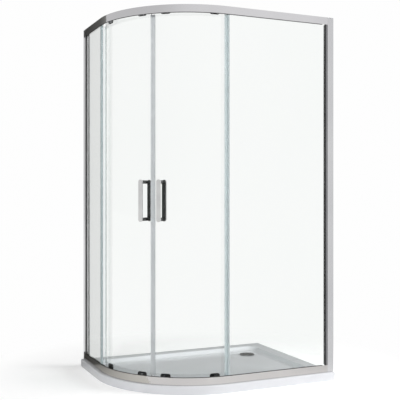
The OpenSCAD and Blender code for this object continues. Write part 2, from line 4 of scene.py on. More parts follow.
import bmesh
import bpy
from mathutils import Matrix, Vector


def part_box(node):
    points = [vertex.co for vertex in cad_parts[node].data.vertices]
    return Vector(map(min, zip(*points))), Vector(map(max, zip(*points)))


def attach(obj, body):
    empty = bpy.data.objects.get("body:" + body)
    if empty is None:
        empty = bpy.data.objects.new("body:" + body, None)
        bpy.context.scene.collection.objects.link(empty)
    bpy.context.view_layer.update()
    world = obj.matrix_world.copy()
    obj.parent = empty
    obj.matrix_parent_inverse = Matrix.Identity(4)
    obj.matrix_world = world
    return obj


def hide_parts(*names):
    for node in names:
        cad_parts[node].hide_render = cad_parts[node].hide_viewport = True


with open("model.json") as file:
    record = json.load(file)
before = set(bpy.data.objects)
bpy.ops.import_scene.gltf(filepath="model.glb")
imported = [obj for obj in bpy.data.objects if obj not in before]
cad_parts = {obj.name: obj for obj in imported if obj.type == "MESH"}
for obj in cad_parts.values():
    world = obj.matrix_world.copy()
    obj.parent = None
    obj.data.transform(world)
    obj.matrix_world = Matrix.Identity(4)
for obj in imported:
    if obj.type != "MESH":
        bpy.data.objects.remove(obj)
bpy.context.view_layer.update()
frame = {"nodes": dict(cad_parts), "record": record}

# Where things are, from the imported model. Depths run inwards from the outer face of the rails.
plan = {
    "cornerRadius": 0.55, "curveSteps": 60, "quarter": math.pi / 2,
    "middleAngle": math.radians(225),
}
trayLow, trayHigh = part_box("tray")
railLow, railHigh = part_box("top_rail")
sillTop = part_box("bottom_rail")[1][2]
arcX = trayLow[0] + plan["cornerRadius"]
arcY = trayLow[1] + plan["cornerRadius"]
railRadius = arcX - railLow[0]
trayTop = trayHigh[2]

depths = {
    "wheel": 0.0239, "wheelWide": 0.006, "glassThick": 0.006, "pad": 0.0002,
    "carrier": 0.0398, "carrierThick": 0.007,
}
doorInner = depths["carrier"] - depths["pad"]
doorOuter = doorInner - depths["glassThick"]
doorRadius = railRadius - doorOuter - depths["glassThick"] / 2
halfArc = doorRadius * plan["quarter"] / 2

# Places along the doors, measured round the curve from its middle
doors = {"overlap": 0.008, "rollerInset": 0.068}
doorTrail = halfArc + doors["overlap"]
rollerPlaces = {"lead": doors["rollerInset"], "trail": doorTrail - doors["rollerInset"]}

# How near two places count as one, how near vertices are merged, and how squarely a face has to
# look along an axis to be picked
hair, weld, squarely = 1e-5, 1e-6, 0.9


def calm():
    if bpy.context.object and bpy.context.object.mode != "OBJECT":
        bpy.ops.object.mode_set(mode="OBJECT")
    bpy.ops.object.select_all(action="DESELECT")


def pick(piece):
    calm()
    piece.select_set(True)
    bpy.context.view_layer.objects.active = piece


def settle(piece):
    # puts the object's place, turn and scale into its mesh
    pick(piece)
    bpy.ops.object.transform_apply(location=True, rotation=True, scale=True)


def enter(piece, kind="FACE"):
    pick(piece)
    bpy.ops.object.mode_set(mode="EDIT")
    bpy.ops.mesh.select_mode(type=kind)
    bpy.ops.mesh.select_all(action="DESELECT")
    return bmesh.from_edit_mesh(piece.data)


def selectWhere(piece, kind, test):
    # selects the faces, edges or vertices that pass a test on them
    shape = enter(piece, kind)
    group = {"FACE": shape.faces, "EDGE": shape.edges, "VERT": shape.verts}[kind]
    for item in group:
        item.select_set(bool(test(item)))
    bmesh.update_edit_mesh(piece.data)


def leave():
    bpy.ops.object.mode_set(mode="OBJECT")


def faceOutwards(piece):
    enter(piece)
    bpy.ops.mesh.select_all(action="SELECT")
    bpy.ops.mesh.remove_doubles(threshold=weld)
    bpy.ops.mesh.normals_make_consistent(inside=False)
    leave()


def applyModifier(piece, kind, **settings):
    pick(piece)
    modifier = piece.modifiers.new(kind.title(), kind)
    for key, value in settings.items():
        setattr(modifier, key, value)
    bpy.ops.object.modifier_apply(modifier=modifier.name)


def softEdges(piece, width, segments=2, degrees=35):
    applyModifier(piece, "BEVEL", width=width, segments=segments, limit_method="ANGLE",
                  angle_limit=math.radians(degrees), harden_normals=False)


def smoothByAngle(piece, degrees=35):
    pick(piece)
    bpy.ops.object.shade_smooth_by_angle(angle=math.radians(degrees))
    applyModifier(piece, "WEIGHTED_NORMAL", keep_sharp=True)


def addBox(name, low, high):
    calm()
    size = [high[i] - low[i] for i in range(3)]
    middle = [(high[i] + low[i]) / 2 for i in range(3)]
    bpy.ops.mesh.primitive_cube_add(size=1, location=middle)
    piece = bpy.context.object
    piece.name = name
    piece.scale = size
    settle(piece)
    return piece


def addRod(name, radius, length, sides=32, along="X"):
    # a cylinder centred on the origin, pointing along X or Z
    calm()
    turn = (0, math.pi / 2, 0) if along == "X" else (0, 0, 0)
    bpy.ops.mesh.primitive_cylinder_add(vertices=sides, radius=radius, depth=length, rotation=turn)
    piece = bpy.context.object
    piece.name = name
    settle(piece)
    return piece


def joinPieces(name, pieces):
    calm()
    for piece in pieces:
        piece.select_set(True)
    bpy.context.view_layer.objects.active = pieces[0]
    if len(pieces) > 1:
        bpy.ops.object.join()
    pieces[0].name = name
    return pieces[0]


def copyPiece(piece, name):
    twin = piece.copy()
    twin.data = piece.data.copy()
    twin.name = name
    bpy.context.scene.collection.objects.link(twin)
    return twin


def discard(*pieces):
    for piece in pieces:
        bpy.data.objects.remove(piece, do_unlink=True)


def carve(piece, cutter):
    applyModifier(piece, "BOOLEAN", operation="DIFFERENCE", solver="EXACT", object=cutter)
    discard(cutter)


def bevelLevel(piece, height, width, flattest=0.3):
    # rounds the sharp edges that lie at one height
    selectWhere(piece, "EDGE", lambda edge: all(abs(v.co.z - height) < hair for v in edge.verts)
                and len(edge.link_faces) == 2 and edge.calc_face_angle(0) > flattest)
    bpy.ops.mesh.bevel(offset=width, offset_type="OFFSET", segments=4, profile=0.5)
    leave()


def middleOf(node):
    low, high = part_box(node)
    return (low + high) / 2


def bevelUpright(piece, x, y, radius, segments):
    # rounds the one upright edge that stands at x, y
    selectWhere(piece, "EDGE", lambda edge: all(
        abs(v.co.x - x) < hair and abs(v.co.y - y) < hair for v in edge.verts))
    bpy.ops.mesh.bevel(offset=radius, offset_type="OFFSET", segments=segments, profile=0.5)
    leave()


def runsInwards(edge, least=0.0005):
    # an edge along local X, which points out of the enclosure once the piece is placed
    return abs((edge.verts[0].co - edge.verts[1].co).x) > least


def roundSides(piece, radius, segments, profile=0.5, test=runsInwards):
    selectWhere(piece, "EDGE", test)
    bpy.ops.mesh.bevel(offset=radius, segments=segments, profile=profile)
    leave()


def closeShell(piece):
    faceOutwards(piece)
    shape = bmesh.new()
    shape.from_mesh(piece.data)
    gaping = any(edge.is_boundary for edge in shape.edges)
    shape.free()
    if gaping:
        enter(piece, "EDGE")
        bpy.ops.mesh.select_all(action="SELECT")
        bpy.ops.mesh.fill_holes(sides=0)
        leave()
        faceOutwards(piece)


def angleAt(side, along):
    turn = along / doorRadius
    return plan["middleAngle"] + (turn if side == "right" else -turn)


def placeRadial(piece, side, along, depth, height):
    # local X points out of the enclosure, Y along the curve and Z up
    turn = angleAt(side, along)
    radius = railRadius - depth
    piece.location = (arcX + radius * math.cos(turn), arcY + radius * math.sin(turn), height)
    piece.rotation_euler = (0, 0, turn)
    settle(piece)


def curvedBar(name, side, depthA, depthB, low, high, fromAlong, toAlong):
    # a plane at one end of the stretch, spun about the arc's centre; spin turns against its angle
    calm()
    start, end = angleAt(side, fromAlong), angleAt(side, toAlong)
    radius = railRadius - (depthA + depthB) / 2
    place = (arcX + radius * math.cos(start), arcY + radius * math.sin(start), (low + high) / 2)
    bpy.ops.mesh.primitive_plane_add(size=1, location=place, rotation=(math.pi / 2, 0, start))
    piece = bpy.context.object
    piece.name = name
    piece.scale = (depthB - depthA, high - low, 1)
    settle(piece)
    enter(piece)
    bpy.ops.mesh.select_all(action="SELECT")
    steps = max(2, int(abs(end - start) / plan["quarter"] * plan["curveSteps"]))
    bpy.ops.mesh.spin(steps=steps, angle=start - end, center=(arcX, arcY, 0), axis=(0, 0, 1))
    leave()
    closeShell(piece)
    return piece


# Shader groups, each made once and placed in the materials that use it
def newGroup(name, inputs, outputs):
    group = bpy.data.node_groups.new(name, "ShaderNodeTree")
    for label, kind, value in inputs:
        socket = group.interface.new_socket(label, in_out="INPUT", socket_type=kind)
        if value is not None:
            socket.default_value = value
    for label, kind in outputs:
        group.interface.new_socket(label, in_out="OUTPUT", socket_type=kind)
    return group, group.nodes.new("NodeGroupInput"), group.nodes.new("NodeGroupOutput")


def makeMottleGroup():
    group, source, result = newGroup(
        "softMottle", [("Vector", "NodeSocketVector", None), ("Scale", "NodeSocketFloat", 6.0)],
        [("Mask", "NodeSocketFloat")])
    broad = group.nodes.new("ShaderNodeTexNoise")
    broad.inputs["Detail"].default_value = 4.0
    spread = group.nodes.new("ShaderNodeMapRange")
    spread.inputs["From Min"].default_value = 0.35
    spread.inputs["From Max"].default_value = 0.65
    group.links.new(source.outputs["Vector"], broad.inputs["Vector"])
    group.links.new(source.outputs["Scale"], broad.inputs["Scale"])
    group.links.new(broad.outputs["Fac"], spread.inputs["Value"])
    group.links.new(spread.outputs["Result"], result.inputs["Mask"])
    return group


def makeGrainGroup():
    # fine lines or specks, drawn out by the Stretch that the material gives
    group, source, result = newGroup(
        "drawnGrain",
        [("Vector", "NodeSocketVector", None), ("Stretch", "NodeSocketVector", (1, 1, 1))],
        [("Height", "NodeSocketFloat"), ("Mask", "NodeSocketFloat")])
    stretch = group.nodes.new("ShaderNodeVectorMath")
    stretch.operation = "MULTIPLY"
    fine = group.nodes.new("ShaderNodeTexNoise")
    fine.inputs["Scale"].default_value = 1.0
    fine.inputs["Detail"].default_value = 3.0
    coarse = group.nodes.new("ShaderNodeTexNoise")
    coarse.inputs["Scale"].default_value = 0.31
    coarse.inputs["Detail"].default_value = 2.0
    both = group.nodes.new("ShaderNodeMath")
    both.operation = "MULTIPLY_ADD"
    both.inputs[1].default_value = 0.6
    group.links.new(source.outputs["Vector"], stretch.inputs[0])
    group.links.new(source.outputs["Stretch"], stretch.inputs[1])
    for noise in (fine, coarse):
        group.links.new(stretch.outputs["Vector"], noise.inputs["Vector"])
    group.links.new(coarse.outputs["Fac"], both.inputs[0])
    group.links.new(fine.outputs["Fac"], both.inputs[2])
    group.links.new(both.outputs["Value"], result.inputs["Height"])
    group.links.new(coarse.outputs["Fac"], result.inputs["Mask"])
    return group


def makeWaterGroup():
    # rings and specks left by dried drops
    group, source, result = newGroup(
        "driedDrops", [("Vector", "NodeSocketVector", None), ("Scale", "NodeSocketFloat", 60.0)],
        [("Mask", "NodeSocketFloat")])
    cells = group.nodes.new("ShaderNodeTexVoronoi")
    spot = group.nodes.new("ShaderNodeMapRange")
    spot.inputs["From Min"].default_value = 0.10
    spot.inputs["From Max"].default_value = 0.04
    patch = group.nodes.new("ShaderNodeTexNoise")
    patch.inputs["Scale"].default_value = 5.0
    patchEdge = group.nodes.new("ShaderNodeMapRange")
    patchEdge.inputs["From Min"].default_value = 0.5
    patchEdge.inputs["From Max"].default_value = 0.62
    both = group.nodes.new("ShaderNodeMath")
    both.operation = "MULTIPLY"
    group.links.new(source.outputs["Vector"], cells.inputs["Vector"])
    group.links.new(source.outputs["Scale"], cells.inputs["Scale"])
    group.links.new(source.outputs["Vector"], patch.inputs["Vector"])
    group.links.new(cells.outputs["Distance"], spot.inputs["Value"])
    group.links.new(patch.outputs["Fac"], patchEdge.inputs["Value"])
    group.links.new(spot.outputs["Result"], both.inputs[0])
    group.links.new(patchEdge.outputs["Result"], both.inputs[1])
    group.links.new(both.outputs["Value"], result.inputs["Mask"])
    return group


mottleGroup = makeMottleGroup()
grainGroup = makeGrainGroup()
waterGroup = makeWaterGroup()


def placeGroup(nodes, group, **values):
    node = nodes.new("ShaderNodeGroup")
    node.node_tree = group
    for label, value in values.items():
        node.inputs[label].default_value = value
    return node


def mixColours(nodes, links, factor, first, second):
    node = nodes.new("ShaderNodeMix")
    node.data_type = "RGBA"
    node.inputs["A"].default_value = (*first, 1)
    node.inputs["B"].default_value = (*second, 1)
    links.new(factor, node.inputs["Factor"])
    return node.outputs["Result"]


def spreadValue(nodes, links, factor, low, high):
    node = nodes.new("ShaderNodeMapRange")
    node.inputs["To Min"].default_value = low
    node.inputs["To Max"].default_value = high
    links.new(factor, node.inputs["Value"])
    return node.outputs["Result"]


def newMaterial(name, **sockets):
    material = bpy.data.materials.new(name)
    material.use_nodes = True
    nodes = material.node_tree.nodes
    nodes.clear()
    output = nodes.new("ShaderNodeOutputMaterial")
    shader = nodes.new("ShaderNodeBsdfPrincipled")
    for label, value in sockets.items():
        shader.inputs[label].default_value = value
    material.node_tree.links.new(shader.outputs["BSDF"], output.inputs["Surface"])
    return material, nodes, material.node_tree.links, shader, output


def solidMaterial(name, look, **sockets):
    # colour mottled between two tones, roughness by the grain, and a slight relief
    material, nodes, links, shader, output = newMaterial(name, **sockets)
    place = nodes.new("ShaderNodeTexCoord")
    mottle = placeGroup(nodes, mottleGroup, Scale=look["mottleScale"])
    grain = placeGroup(nodes, grainGroup, Stretch=look["grainStretch"])
    for group in (mottle, grain):
        links.new(place.outputs["Object"], group.inputs["Vector"])
    links.new(mixColours(nodes, links, mottle.outputs["Mask"], look["tone"], look["toneB"]),
              shader.inputs["Base Color"])
    links.new(spreadValue(nodes, links, grain.outputs["Mask"], *look["roughness"]),
              shader.inputs["Roughness"])
    bump = nodes.new("ShaderNodeBump")
    bump.inputs["Strength"].default_value = look["reliefStrength"]
    bump.inputs["Distance"].default_value = look["reliefDepth"]
    links.new(grain.outputs["Height"], bump.inputs["Height"])
    links.new(bump.outputs["Normal"], shader.inputs["Normal"])
    return material


def clearMaterial(name, look, **sockets):
    # glass or clear plastic: faint dried drops in its roughness, and lamps shine through it
    material, nodes, links, shader, output = newMaterial(name, **sockets)
    place = nodes.new("ShaderNodeTexCoord")
    drops = placeGroup(nodes, waterGroup, Scale=look["dropScale"])
    mottle = placeGroup(nodes, mottleGroup, Scale=look["mottleScale"])
    for group in (drops, mottle):
        links.new(place.outputs["Object"], group.inputs["Vector"])
    links.new(spreadValue(nodes, links, drops.outputs["Mask"], *look["roughness"]),
              shader.inputs["Roughness"])
    links.new(mixColours(nodes, links, mottle.outputs["Mask"], look["tone"], look["toneB"]),
              shader.inputs["Base Color"])
    path = nodes.new("ShaderNodeLightPath")
    clear = nodes.new("ShaderNodeBsdfTransparent")
    clear.inputs["Color"].default_value = (*look["shade"], 1)
    both = nodes.new("ShaderNodeMixShader")
    links.new(path.outputs["Is Shadow Ray"], both.inputs["Fac"])
    links.new(shader.outputs["BSDF"], both.inputs[1])
    links.new(clear.outputs["BSDF"], both.inputs[2])
    links.new(both.outputs["Shader"], output.inputs["Surface"])
    return material


railFinish = solidMaterial("brightAnodisedRail", {
    "tone": (0.645, 0.64, 0.655), "toneB": (0.605, 0.60, 0.615), "mottleScale": 3.0,
    "grainStretch": (25.0, 25.0, 2600.0), "roughness": (0.07, 0.13),
    "reliefStrength": 0.10, "reliefDepth": 0.0002}, Metallic=1.0)
# The bottom rail: the top rail's anodised metal painted darker and browner, as painted shade
sillPaintedShade = solidMaterial("brightAnodisedSill", {
    "tone": (0.53, 0.515, 0.51), "toneB": (0.49, 0.475, 0.47), "mottleScale": 3.0,
    "grainStretch": (25.0, 25.0, 2600.0), "roughness": (0.07, 0.13),
    "reliefStrength": 0.10, "reliefDepth": 0.0002}, Metallic=1.0)
profileFinish = solidMaterial("brightAnodisedProfile", {
    "tone": (0.62, 0.62, 0.63), "toneB": (0.57, 0.57, 0.585), "mottleScale": 3.0,
    "grainStretch": (2600.0, 2600.0, 25.0), "roughness": (0.18, 0.32),
    "reliefStrength": 0.10, "reliefDepth": 0.0002}, Metallic=1.0)
# The jamb: the profiles' anodised metal painted much darker, as painted shade where it sits
# recessed behind the wall profile
jambPaintedShade = solidMaterial("shadedAnodisedJamb", {
    "tone": (0.26, 0.26, 0.27), "toneB": (0.22, 0.22, 0.23), "mottleScale": 3.0,
    "grainStretch": (2600.0, 2600.0, 25.0), "roughness": (0.24, 0.38),
    "reliefStrength": 0.10, "reliefDepth": 0.0002}, Metallic=1.0)
handleFinish = solidMaterial("satinHandle", {
    "tone": (0.70, 0.70, 0.695), "toneB": (0.64, 0.64, 0.64), "mottleScale": 14.0,
    "grainStretch": (3200.0, 3200.0, 40.0), "roughness": (0.22, 0.40),
    "reliefStrength": 0.15, "reliefDepth": 0.0002}, Metallic=1.0)
chromeFinish = solidMaterial("polishedChrome", {
    "tone": (0.66, 0.67, 0.69), "toneB": (0.60, 0.61, 0.63), "mottleScale": 40.0,
    "grainStretch": (900.0, 900.0, 900.0), "roughness": (0.05, 0.14),
    "reliefStrength": 0.04, "reliefDepth": 0.0001}, Metallic=1.0)
steelFinish = solidMaterial("plainSteel", {
    "tone": (0.50, 0.50, 0.52), "toneB": (0.42, 0.42, 0.44), "mottleScale": 60.0,
    "grainStretch": (1500.0, 1500.0, 1500.0), "roughness": (0.24, 0.42),
    "reliefStrength": 0.10, "reliefDepth": 0.0002}, Metallic=1.0)
trayFinish = solidMaterial("glossWhiteTray", {
    "tone": (0.82, 0.83, 0.86), "toneB": (0.78, 0.79, 0.82), "mottleScale": 5.0,
    "grainStretch": (420.0, 420.0, 420.0), "roughness": (0.10, 0.24),
    "reliefStrength": 0.06, "reliefDepth": 0.0004})
blackFinish = solidMaterial("blackMoulded", {
    "tone": (0.018, 0.018, 0.019), "toneB": (0.030, 0.030, 0.031), "mottleScale": 50.0,
    "grainStretch": (2200.0, 2200.0, 2200.0), "roughness": (0.30, 0.50),
    "reliefStrength": 0.35, "reliefDepth": 0.0003})
rubberFinish = solidMaterial("blackRubber", {
    "tone": (0.022, 0.022, 0.022), "toneB": (0.040, 0.040, 0.039), "mottleScale": 30.0,
    "grainStretch": (1600.0, 1600.0, 60.0), "roughness": (0.55, 0.75),
    "reliefStrength": 0.3, "reliefDepth": 0.0003})
greyFinish = solidMaterial("greyMoulded", {
    "tone": (0.42, 0.42, 0.44), "toneB": (0.37, 0.37, 0.39), "mottleScale": 25.0,
    "grainStretch": (1800.0, 1800.0, 1800.0), "roughness": (0.38, 0.55),
    "reliefStrength": 0.25, "reliefDepth": 0.0003})
wheelFinish = solidMaterial("whiteNylon", {
    "tone": (0.74, 0.74, 0.72), "toneB": (0.68, 0.68, 0.65), "mottleScale": 60.0,
    "grainStretch": (1800.0, 1800.0, 1800.0), "roughness": (0.30, 0.45),
    "reliefStrength": 0.15, "reliefDepth": 0.0002})
closingFinish = solidMaterial("greySoftSeal", {
    "tone": (0.62, 0.65, 0.665), "toneB": (0.57, 0.60, 0.615), "mottleScale": 8.0,
    "grainStretch": (1400.0, 1400.0, 20.0), "roughness": (0.26, 0.42),
    "reliefStrength": 0.2, "reliefDepth": 0.0003})
clearFinish = clearMaterial("clearGlass", {
    "tone": (0.945, 0.96, 0.95), "toneB": (0.935, 0.955, 0.942), "mottleScale": 1.5,
    "dropScale": 70.0, "roughness": (0.0, 0.06), "shade": (0.85, 0.88, 0.875)},
    **{"Transmission Weight": 1.0, "IOR": 1.5})
sealFinish = clearMaterial("clearSoftSeal", {
    "tone": (0.78, 0.83, 0.84), "toneB": (0.74, 0.79, 0.80), "mottleScale": 12.0,
    "dropScale": 90.0, "roughness": (0.22, 0.40), "shade": (0.76, 0.81, 0.82)},
    **{"Transmission Weight": 0.60, "IOR": 1.45})
trailingFinish = clearMaterial("clearTrailingSeal", {
    "tone": (0.90, 0.935, 0.935), "toneB": (0.87, 0.91, 0.91), "mottleScale": 12.0,
    "dropScale": 90.0, "roughness": (0.10, 0.22), "shade": (0.88, 0.91, 0.91)},
    **{"Transmission Weight": 0.92, "IOR": 1.35})
print("materials made:", len(bpy.data.materials))

# The finish of every node of the model, by the start of its name
nodeFinishes = {
    "tray": trayFinish, "waste_flange": chromeFinish, "waste_gasket": rubberFinish,
    "waste_nut": greyFinish, "waste_strainer": steelFinish, "profile_screws": steelFinish,
    "rail_screws": steelFinish, "door_stops": rubberFinish,
    "wall_profile": profileFinish, "jamb": jambPaintedShade, "profile_cap": greyFinish,
    "top_rail": railFinish, "bottom_rail": sillPaintedShade, "rail_bracket": greyFinish,
    "fixed_glass": clearFinish, "door_glass": clearFinish, "glass_gasket": rubberFinish,
    "overlap_seal": sealFinish, "trailing_seal": trailingFinish, "closing_seal": closingFinish,
    "carrier": blackFinish, "wheel": wheelFinish, "axle_pins": steelFinish,
    "clamp_screws": chromeFinish, "guide": blackFinish, "release_button": chromeFinish,
    "outer_handle": handleFinish, "inner_handle": handleFinish, "handle_posts": blackFinish,
    "waste_cover": chromeFinish,
}
for nodeName in frame["nodes"]:
    key = max((k for k in nodeFinishes if nodeName.startswith(k)), key=len)
    nodeMesh = bpy.data.objects[nodeName].data
    nodeMesh.materials.clear()
    nodeMesh.materials.append(nodeFinishes[key])
print("nodes given their finish:", len(frame["nodes"]))

bodyOf = {node: body for body, nodes in frame["record"]["behaviour"]["bodies"].items()
          for node in nodes}
glassSpan = [corner[2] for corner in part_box("door_glass_left")]


def finishPiece(piece, name, material, *nodes):
    # gives the piece its name, finish and body, and lets it stand for CAD nodes
    piece.name = name
    piece.data.name = name
    piece.data.materials.clear()
    piece.data.materials.append(material)
    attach(piece, bodyOf[nodes[0]])
    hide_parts(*nodes)


def camelName(text):
    words = text.split("_")
    return words[0] + "".join(word.title() for word in words[1:])


# Plain extrusions, taken over from the model and given soft edges
softened = {
    "wall_profile": 0.0005, "jamb": 0.0004, "profile_cap": 0.0008, "top_rail": 0.0005,
    "bottom_rail": 0.0005, "rail_bracket": 0.0006, "door_stops": 0.0010, "fixed_glass": 0.0006,
    "glass_gasket": 0.0004, "closing_seal": 0.0006, "overlap_seal": 0.00025,
    "trailing_seal": 0.00025, "waste_flange": 0.0004, "waste_gasket": 0.0002, "waste_nut": 0.0008,
}


def softenedCopy(node, width):
    source = frame["nodes"][node]
    calm()
    bpy.ops.mesh.primitive_cube_add()
    piece = bpy.context.object
    piece.data = source.data.copy()
    enter(piece)
    bpy.ops.mesh.customdata_custom_splitnormals_clear()
    bpy.ops.mesh.select_all(action="SELECT")
    bpy.ops.mesh.remove_doubles(threshold=hair)
    bpy.ops.mesh.dissolve_limited(angle_limit=math.radians(0.5))
    bpy.ops.mesh.normals_make_consistent(inside=False)
    leave()
    softEdges(piece, width)
    smoothByAngle(piece)
    return piece


for node in frame["nodes"]:
    key = next((k for k in softened if node.startswith(k)), None)
    if key:
        finishPiece(softenedCopy(node, softened[key]), camelName(node), nodeFinishes[key], node)

# Thin black strips along the mouths of both rails, all the way round: painted shade, dark sheets
# put where the mouths of the rails fall in shadow
mouth = {"outer": 0.0009, "inner": 0.0029, "tall": 0.003, "seat": 0.0003, "endGap": 0.034}


def makeMouthShadeStrip(name, low, high):
    parts = [curvedBar(name, side, mouth["outer"], mouth["inner"], low, high, 0, halfArc)
             for side in ("left", "right")]
    parts.append(addBox(name, (railLow[0] + mouth["outer"], arcY, low),
                        (railLow[0] + mouth["inner"], railHigh[1] - mouth["endGap"], high)))
    parts.append(addBox(name, (arcX, railLow[1] + mouth["outer"], low),
                        (railHigh[0] - mouth["endGap"], railLow[1] + mouth["inner"], high)))
    strip = joinPieces(name, parts)
    smoothByAngle(strip)
    strip.data.materials.clear()
    strip.data.materials.append(rubberFinish)
    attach(strip, bodyOf["top_rail"])


makeMouthShadeStrip("sillStrip", sillTop - mouth["seat"], sillTop + mouth["tall"])
makeMouthShadeStrip("headStrip", railLow[2] - mouth["tall"], railLow[2] + mouth["seat"])
print("rail strips made")

# Tray: a slab with one great round corner, a sunken floor and the seat of the waste
tray = {
    "rim": 0.072, "slope": 0.026, "floorDrop": 0.022, "innerCorner": 0.070, "topEdge": 0.005,
    "floorEdge": 0.010, "recessRadius": 0.0483, "recessDrop": 0.026, "holeRadius": 0.0303,
    "overcut": 0.01, "cutterLong": 0.1,
}


def makeTray():
    slab = addBox("tray", trayLow, trayHigh)
    bevelUpright(slab, trayLow[0], trayLow[1], plan["cornerRadius"], segments=64)
    low = (trayLow[0] + tray["rim"], trayLow[1] + tray["rim"], trayTop)
    high = (trayHigh[0] - tray["rim"], trayHigh[1] - tray["rim"], trayTop + tray["overcut"])
    basin = addBox("basinCutter", low, high)
    bevelUpright(basin, low[0], low[1], plan["cornerRadius"] - tray["rim"], segments=64)
    for x, y in ((low[0], high[1]), (high[0], high[1]), (high[0], low[1])):
        bevelUpright(basin, x, y, tray["innerCorner"], segments=12)
    selectWhere(basin, "FACE", lambda face: face.normal.z < -squarely)
    bpy.ops.mesh.inset(thickness=tray["slope"], depth=tray["floorDrop"])
    leave()
    bevelLevel(basin, trayTop - tray["floorDrop"], tray["floorEdge"])
    carve(slab, basin)
    bevelLevel(slab, trayTop, tray["topEdge"])
    wasteX, wasteY = middleOf("waste_cover")[:2]
    for radius, bottom in ((tray["recessRadius"], trayTop - tray["recessDrop"]),
                           (tray["holeRadius"], trayLow[2] - tray["overcut"])):
        cutter = addRod("wasteCutter", radius, tray["cutterLong"], sides=96, along="Z")
        cutter.location = (wasteX, wasteY, bottom + tray["cutterLong"] / 2)
        settle(cutter)
        carve(slab, cutter)
    faceOutwards(slab)
    smoothByAngle(slab, degrees=30)
    return slab


finishPiece(makeTray(), "tray", trayFinish, "tray")
print("tray made")


def drawChain(name, points, closed=False):
    # one vertex extruded from point to point in the plane of X and Z
    calm()
    bpy.ops.mesh.primitive_plane_add(size=0.001)
    piece = bpy.context.object
    piece.name = name
    enter(piece, "VERT")
    bpy.ops.mesh.select_all(action="SELECT")
    bpy.ops.mesh.merge(type="CENTER")
    bpy.ops.transform.translate(value=(points[0][0], 0, points[0][1]))
    stops = list(points) + ([points[0]] if closed else [])
    for here, there in zip(stops, stops[1:]):
        step = (there[0] - here[0], 0, there[1] - here[1])
        bpy.ops.mesh.extrude_vertices_move(TRANSFORM_OT_translate={"value": step})
    leave()
    return piece


def lathe(name, points, axis, closed=False, steps=48):
    piece = drawChain(name, points, closed)
    enter(piece, "VERT")
    bpy.ops.mesh.select_all(action="SELECT")
    bpy.ops.mesh.spin(steps=steps, angle=math.tau, center=(0, 0, 0), axis=axis)
    leave()
    faceOutwards(piece)
    smoothByAngle(piece, degrees=40)
    return piece


alongX, alongZ = (1, 0, 0), (0, 0, 1)

# Curved door panes, with the holes for roller screws and handle posts
pane = {
    "lead": 0.008, "edge": 0.0006, "screwHole": 0.0028, "screwPitch": 0.028, "postHole": 0.0048,
    "cutterLong": 0.03,
}
handle = {
    "inset": 0.047, "height": 1.0, "long": 0.221, "wide": 0.024, "thick": 0.008, "edge": 0.0016,
    "postPitch": 0.196, "outerDepth": -0.0104, "innerDepth": 0.0838,
    "backInset": 0.0012, "backThick": 0.0012, "backProud": 0.0006, "flat": 0.00005,
}
postHeights = [handle["height"] + half * handle["postPitch"] / 2 for half in (-1, 1)]
screwHeight = middleOf("clamp_screws_left")[2]


def makePane(side):
    piece = curvedBar("pane", side, doorOuter, doorInner, *glassSpan, pane["lead"], doorTrail)
    cutters = []
    places = [(rollerPlaces[end] + half * pane["screwPitch"] / 2, screwHeight, pane["screwHole"])
              for end in rollerPlaces for half in (-1, 1)]
    places += [(handle["inset"], height, pane["postHole"]) for height in postHeights]
    for along, height, radius in places:
        cutter = addRod("paneCutter", radius, pane["cutterLong"])
        placeRadial(cutter, side, along, (doorOuter + doorInner) / 2, height)
        cutters.append(cutter)
    carve(piece, joinPieces("paneCutter", cutters))
    softEdges(piece, pane["edge"], degrees=60)
    smoothByAngle(piece)
    return piece


for side in ("left", "right"):
    finishPiece(makePane(side), "doorPane_" + side, clearFinish, "door_glass_" + side)
print("door panes made")

# Handle bars with round ends, and the posts that join them through the glass
postChain = [
    (-0.0432, 0), (-0.0432, 0.0084), (-0.0426, 0.009), (-0.0085, 0.009), (-0.0081, 0.0085),
    (-0.0077, 0.0085), (-0.0073, 0.009), (-0.0041, 0.009), (-0.0035, 0.0084), (-0.0035, 0.0045),
    (0.0033, 0.0045), (0.0033, 0.0084), (0.0039, 0.009), (0.0071, 0.009), (0.0075, 0.0085),
    (0.0079, 0.0085), (0.0083, 0.009), (0.0424, 0.009), (0.043, 0.0084), (0.043, 0),
]


def makeBar(inset, thick, edge):
    half = (thick / 2, handle["wide"] / 2 - inset, handle["long"] / 2 - inset)
    piece = addBox("bar", [-h for h in half], half)
    roundSides(piece, half[1] - handle["flat"], segments=12)
    softEdges(piece, edge, segments=4, degrees=60)
    smoothByAngle(piece)
    return piece


firstBar = makeBar(0, handle["thick"], handle["edge"])
# A thin black back for each bar's glass side: painted shade on the face of the bar that turns
# towards the glass
firstShadeBack = makeBar(handle["backInset"], handle["backThick"], handle["backThick"] / 4)
shadeBackDepth = handle["thick"] / 2 - handle["backThick"] / 2 + handle["backProud"]
firstPost = lathe("post", postChain, alongX)
for side in ("left", "right"):
    for place in ("outer", "inner"):
        bar = copyPiece(firstBar, "bar")
        placeRadial(bar, side, handle["inset"], handle[place + "Depth"], handle["height"])
        finishPiece(bar, f"{place}Bar_{side}", handleFinish, f"{place}_handle_{side}")
    posts = []
    # The black backs, painted shade, go on the glass side of both bars and join the posts
    for place, towards in (("outer", 1), ("inner", -1)):
        back = copyPiece(firstShadeBack, "back")
        placeRadial(back, side, handle["inset"], handle[place + "Depth"] + towards * shadeBackDepth,
                    handle["height"])
        posts.append(back)
    for height in postHeights:
        post = copyPiece(firstPost, "post")
        placeRadial(post, side, handle["inset"], (doorOuter + doorInner) / 2, height)
        posts.append(post)
    finishPiece(joinPieces("posts", posts), "posts_" + side, blackFinish, "handle_posts_" + side)
discard(firstBar, firstShadeBack, firstPost)
print("handles made")

